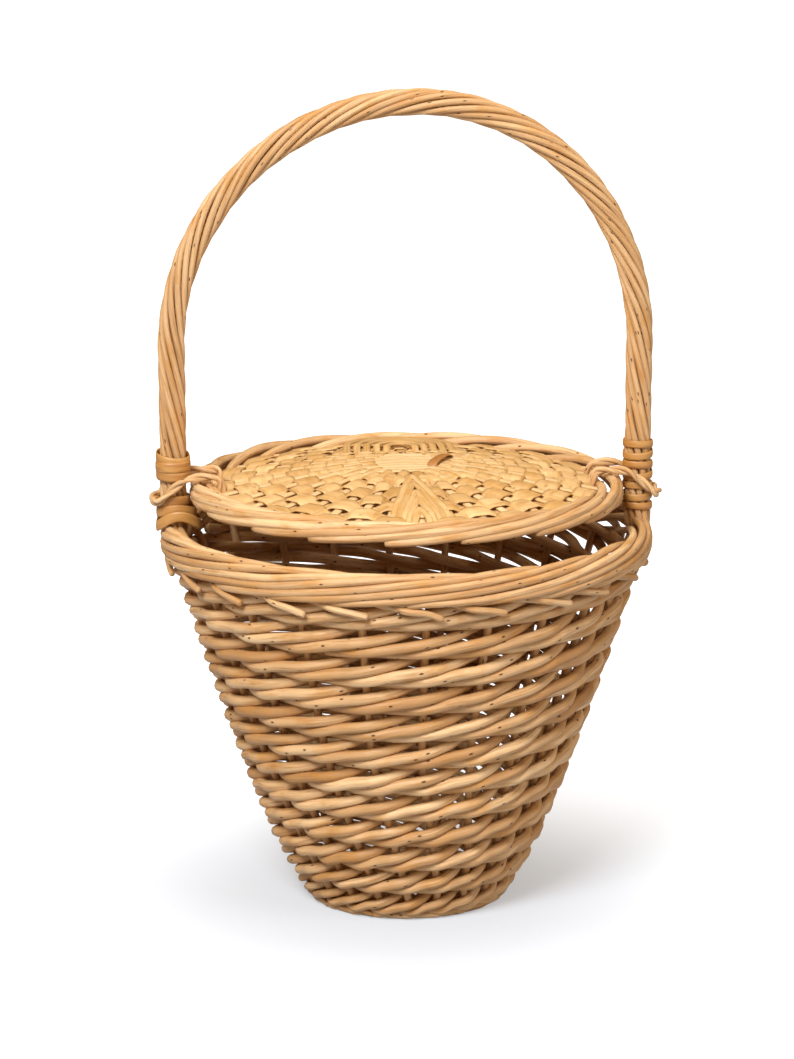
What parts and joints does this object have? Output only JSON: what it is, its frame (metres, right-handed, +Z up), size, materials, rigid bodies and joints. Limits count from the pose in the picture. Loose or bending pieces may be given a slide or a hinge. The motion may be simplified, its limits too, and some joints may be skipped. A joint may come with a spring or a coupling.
{
  "type": "lidded willow basket bag",
  "caption": "Round woven willow basket with a twisted fixed handle and a domed lid that slides up the handle's legs and tips on two willow loops.",
  "frame": {"origin": "centre of the base, on the surface that the basket stands on", "axes": "+Z up along the basket's axis, +X through the right-hand foot of the handle, +Y towards the back"},
  "size_m": [0.2808, 0.271, 0.4513],
  "materials": {
    "peeled_willow": "peeled and buffed willow rods, satin, light tan with orange-brown shading",
    "willow_skein": "flat split willow skein, slightly glossy, orange tan",
    "split_willow": "flat split willow ribbon, matt, pale straw",
    "white_willow": "white peeled willow sticks, matt"
  },
  "bodies": {
    "basket": {"base_weave": "peeled_willow", "base_sticks_across": "peeled_willow", "base_sticks_through": "peeled_willow", "side_weave": "peeled_willow", "stake_01": "peeled_willow", "stake_02": "peeled_willow", "stake_03": "peeled_willow", "stake_04": "peeled_willow", "stake_05": "peeled_willow", "stake_06": "peeled_willow", "stake_07": "peeled_willow", "stake_08": "peeled_willow", "stake_09": "peeled_willow", "stake_10": "peeled_willow", "stake_11": "peeled_willow", "stake_12": "peeled_willow", "stake_13": "peeled_willow", "stake_14": "peeled_willow", "stake_15": "peeled_willow", "stake_16": "peeled_willow", "stake_17": "peeled_willow", "stake_18": "peeled_willow", "stake_19": "peeled_willow", "stake_20": "peeled_willow", "stake_21": "peeled_willow", "stake_22": "peeled_willow", "rim_border": "peeled_willow", "handle_core": "peeled_willow", "handle_rod_1": "peeled_willow", "handle_rod_2": "peeled_willow", "handle_rod_3": "peeled_willow", "handle_rod_4": "peeled_willow", "handle_rod_5": "peeled_willow", "handle_rod_6": "peeled_willow", "handle_rod_7": "peeled_willow", "handle_rod_8": "peeled_willow", "handle_rod_9": "peeled_willow", "foot_binding_left": "willow_skein", "foot_binding_right": "willow_skein"},
    "lid_loops": {"loop_left": "peeled_willow", "loop_right": "peeled_willow"},
    "lid": {"lid_border": "peeled_willow", "lid_sticks_x": "white_willow", "lid_sticks_y": "white_willow", "lid_ribbon_1": "split_willow", "lid_ribbon_2": "split_willow", "lid_ribbon_3": "split_willow", "lid_ribbon_4": "split_willow", "lid_ribbon_5": "split_willow", "lid_ribbon_6": "split_willow", "lid_ribbon_7": "split_willow", "lid_tie": "willow_skein"}
  },
  "joints": [
    {"name": "lid_lift", "type": "slide", "parent": "basket", "child": "lid_loops", "axis": [0, 0, 1], "range_m": [0, 0.07]},
    {"name": "lid_tilt", "type": "hinge", "parent": "lid_loops", "child": "lid", "pos_m": [0, 0, 0.24], "axis": [1, 0, 0], "range_deg": [-4, 4]}
  ]
}
